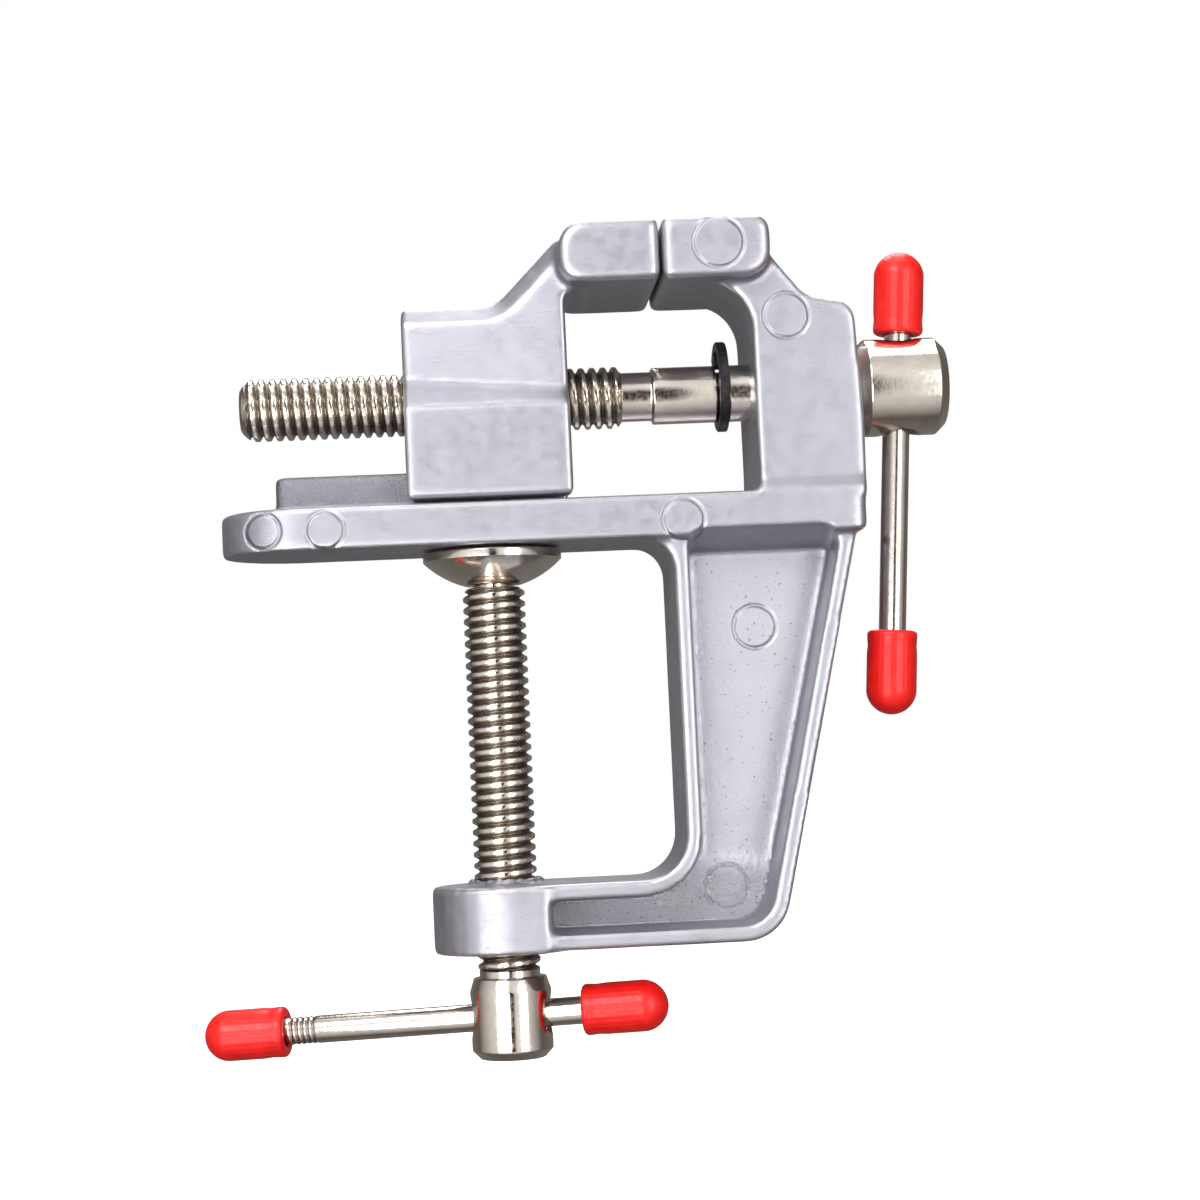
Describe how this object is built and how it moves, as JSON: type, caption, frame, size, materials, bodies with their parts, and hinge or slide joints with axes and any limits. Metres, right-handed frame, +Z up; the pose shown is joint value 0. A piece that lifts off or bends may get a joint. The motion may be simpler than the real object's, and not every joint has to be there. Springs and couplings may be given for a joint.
{
  "type": "bench vise",
  "caption": "Small clamp-on bench vise: cast frame with a fixed jaw, a moving jaw on a rail, two screws with sliding bars, and a swivel pad that grips a table edge.",
  "frame": {"origin": "centre of the table face, the flat underside of the beam, on the axis of the clamp screw", "axes": "+X along the main screw towards its handle, +Z up from the table face, Y across the jaws"},
  "size_m": [0.0987, 0.0244, 0.1044],
  "materials": {
    "cast_aluminium": "satin, bead-blasted die casting",
    "nickel_steel": "bright nickel plate",
    "black_steel": "black oxide",
    "red_plastic": "soft glossy vinyl"
  },
  "bodies": {
    "frame": {"frame_casting": "cast_aluminium"},
    "moving_jaw": {"moving_jaw": "cast_aluminium"},
    "main_screw": {"main_screw": "nickel_steel", "retaining_ring": "black_steel"},
    "main_handle": {"main_handle_bar": "nickel_steel", "main_cap_upper": "red_plastic", "main_cap_lower": "red_plastic"},
    "clamp_pad": {"clamp_pad": "nickel_steel"},
    "clamp_screw": {"clamp_screw": "nickel_steel"},
    "clamp_handle": {"clamp_handle_bar": "nickel_steel", "clamp_cap_left": "red_plastic", "clamp_cap_right": "red_plastic"}
  },
  "joints": [
    {"name": "main_screw_turn", "type": "hinge", "parent": "frame", "child": "main_screw", "pos_m": [0.0479, 0, 0.019], "axis": [1, 0, 0], "range_deg": [0, 6480]},
    {"name": "jaw_slide", "type": "slide", "parent": "frame", "child": "moving_jaw", "axis": [-1, 0, 0], "range_m": [0, 0.0254]},
    {"name": "main_bar_slide", "type": "slide", "parent": "main_screw", "child": "main_handle", "axis": [0.0715, 0, 0.9974], "range_m": [0, 0.0248]},
    {"name": "clamp_screw_turn", "type": "hinge", "parent": "clamp_pad", "child": "clamp_screw", "pos_m": [0, 0, -0.0049], "axis": [0, 0, -1], "range_deg": [0, 9000]},
    {"name": "clamp_slide", "type": "slide", "parent": "frame", "child": "clamp_pad", "axis": [0, 0, -1], "range_m": [0, 0.0353]},
    {"name": "clamp_bar_slide", "type": "slide", "parent": "clamp_screw", "child": "clamp_handle", "axis": [0.9808, -0.1907, 0.0401], "range_m": [-0.0037, 0.0237]}
  ],
  "couplings": [
    {"joint": "jaw_slide", "follows": "main_screw_turn", "m_per_rad": 0.00022457},
    {"joint": "clamp_slide", "follows": "clamp_screw_turn", "m_per_rad": 0.00022457}
  ]
}
